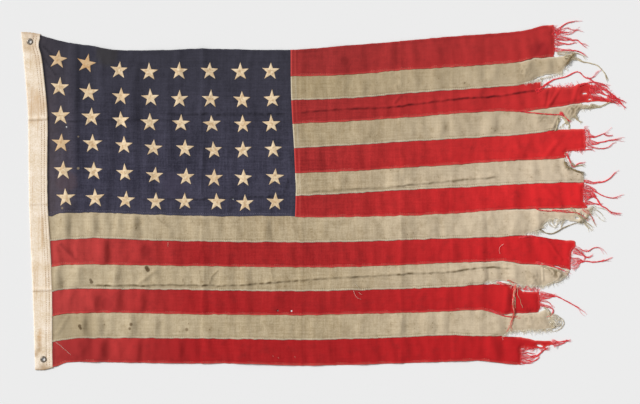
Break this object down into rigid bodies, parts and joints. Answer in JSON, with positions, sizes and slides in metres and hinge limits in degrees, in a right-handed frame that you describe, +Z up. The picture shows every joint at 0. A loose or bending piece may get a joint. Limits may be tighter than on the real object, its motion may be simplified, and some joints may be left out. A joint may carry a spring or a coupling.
{
  "type": "tattered flag",
  "caption": "Worn sewn flag of red and white stripes with a starred blue canton and a canvas heading with eyelets, lying flat, its fly torn to strips and threads.",
  "frame": {"origin": "middle of the flag's footprint, on the surface that it lies on", "axes": "+X from the heading to the torn fly, +Y towards the flag's top edge, +Z up from the surface"},
  "size_m": [1.6852, 0.977, 0.0106],
  "materials": {
    "red_bunting": "plain-woven red wool bunting, faded, matt",
    "white_bunting": "plain-woven white wool bunting, yellowed to beige, soiled, matt",
    "blue_bunting": "plain-woven dark blue wool bunting, faded, matt",
    "star_cotton": "appliqued cotton stars, yellowed",
    "canvas": "cream cotton canvas with brown stains",
    "eyelet_metal": "dulled grey-brown set eyelet"
  },
  "bodies": {
    "root": {"heading": "canvas", "grommet_top": "eyelet_metal", "grommet_bottom": "eyelet_metal", "canton": "blue_bunting", "stripe_1": "red_bunting", "stripe_2": "white_bunting", "stripe_3": "red_bunting", "stripe_4": "white_bunting", "stripe_5": "red_bunting", "stripe_6": "white_bunting", "stripe_7": "red_bunting", "stripe_8": "white_bunting", "stripe_9": "red_bunting", "stripe_10": "white_bunting", "stripe_11": "red_bunting", "stripe_12": "white_bunting", "stripe_13": "red_bunting"}
  },
  "joints": []
}
